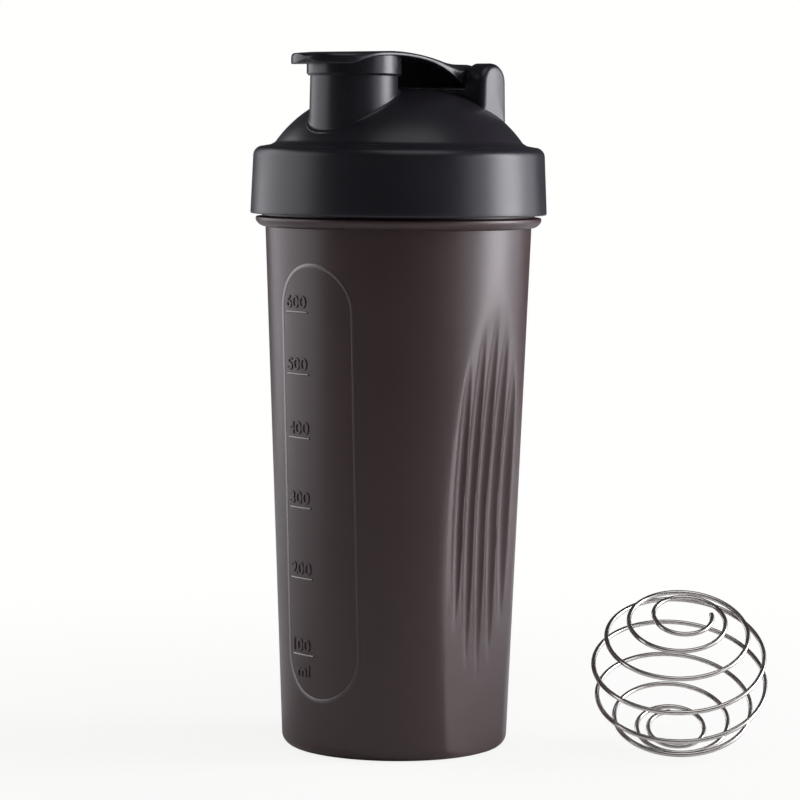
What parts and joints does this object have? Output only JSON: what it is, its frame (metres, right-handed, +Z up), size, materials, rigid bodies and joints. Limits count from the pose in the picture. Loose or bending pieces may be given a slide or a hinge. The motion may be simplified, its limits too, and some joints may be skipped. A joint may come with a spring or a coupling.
{
  "type": "protein shaker bottle",
  "caption": "Tapered translucent shaker cup with fluted side grips and a raised scale, a screw lid with a spout and hinged flip cap, and a loose wire whisk ball.",
  "frame": {"origin": "on the bottle's own axis at the surface it stands on, the centre of its foot ring", "axes": "+Z up along the bottle's axis; -Y towards the spout and the measuring scale; +Y towards the flip cap's hinge; +X and -X through the side grips"},
  "size_m": [0.157, 0.1235, 0.2253],
  "materials": {
    "cup_plastic": "smoke-black translucent plastic with a soft sheen",
    "lid_plastic": "satin black moulded plastic",
    "seal_rubber": "soft matt silicone",
    "cap_plastic": "semi-gloss black moulded plastic",
    "whisk_steel": "bright drawn stainless wire"
  },
  "bodies": {
    "cup": {"cup": "cup_plastic"},
    "seal": {"lid_seal": "seal_rubber"},
    "lid": {"lid": "lid_plastic"},
    "cap": {"flip_cap": "cap_plastic"},
    "ball": {"whisk_ball": "whisk_steel"}
  },
  "joints": [
    {"name": "lid_lift", "type": "slide", "parent": "cup", "child": "seal", "axis": [0, 0, 1], "range_m": [0, 0.02]},
    {"name": "lid_turn", "type": "hinge", "parent": "seal", "child": "lid", "pos_m": [0, 0, 0.182], "axis": [0, 0, 1], "range_deg": [0, 1440]},
    {"name": "flip_open", "type": "hinge", "parent": "lid", "child": "cap", "pos_m": [0, 0.0166, 0.2158], "axis": [-1, 0, 0], "range_deg": [0, 120]},
    {"name": "ball_lift", "type": "slide", "parent": "cup", "child": "ball", "axis": [0, 0, 1], "range_m": [0, 0.1]}
  ],
  "couplings": [
    {"joint": "lid_lift", "follows": "lid_turn", "m_per_rad": 0.00079577}
  ]
}
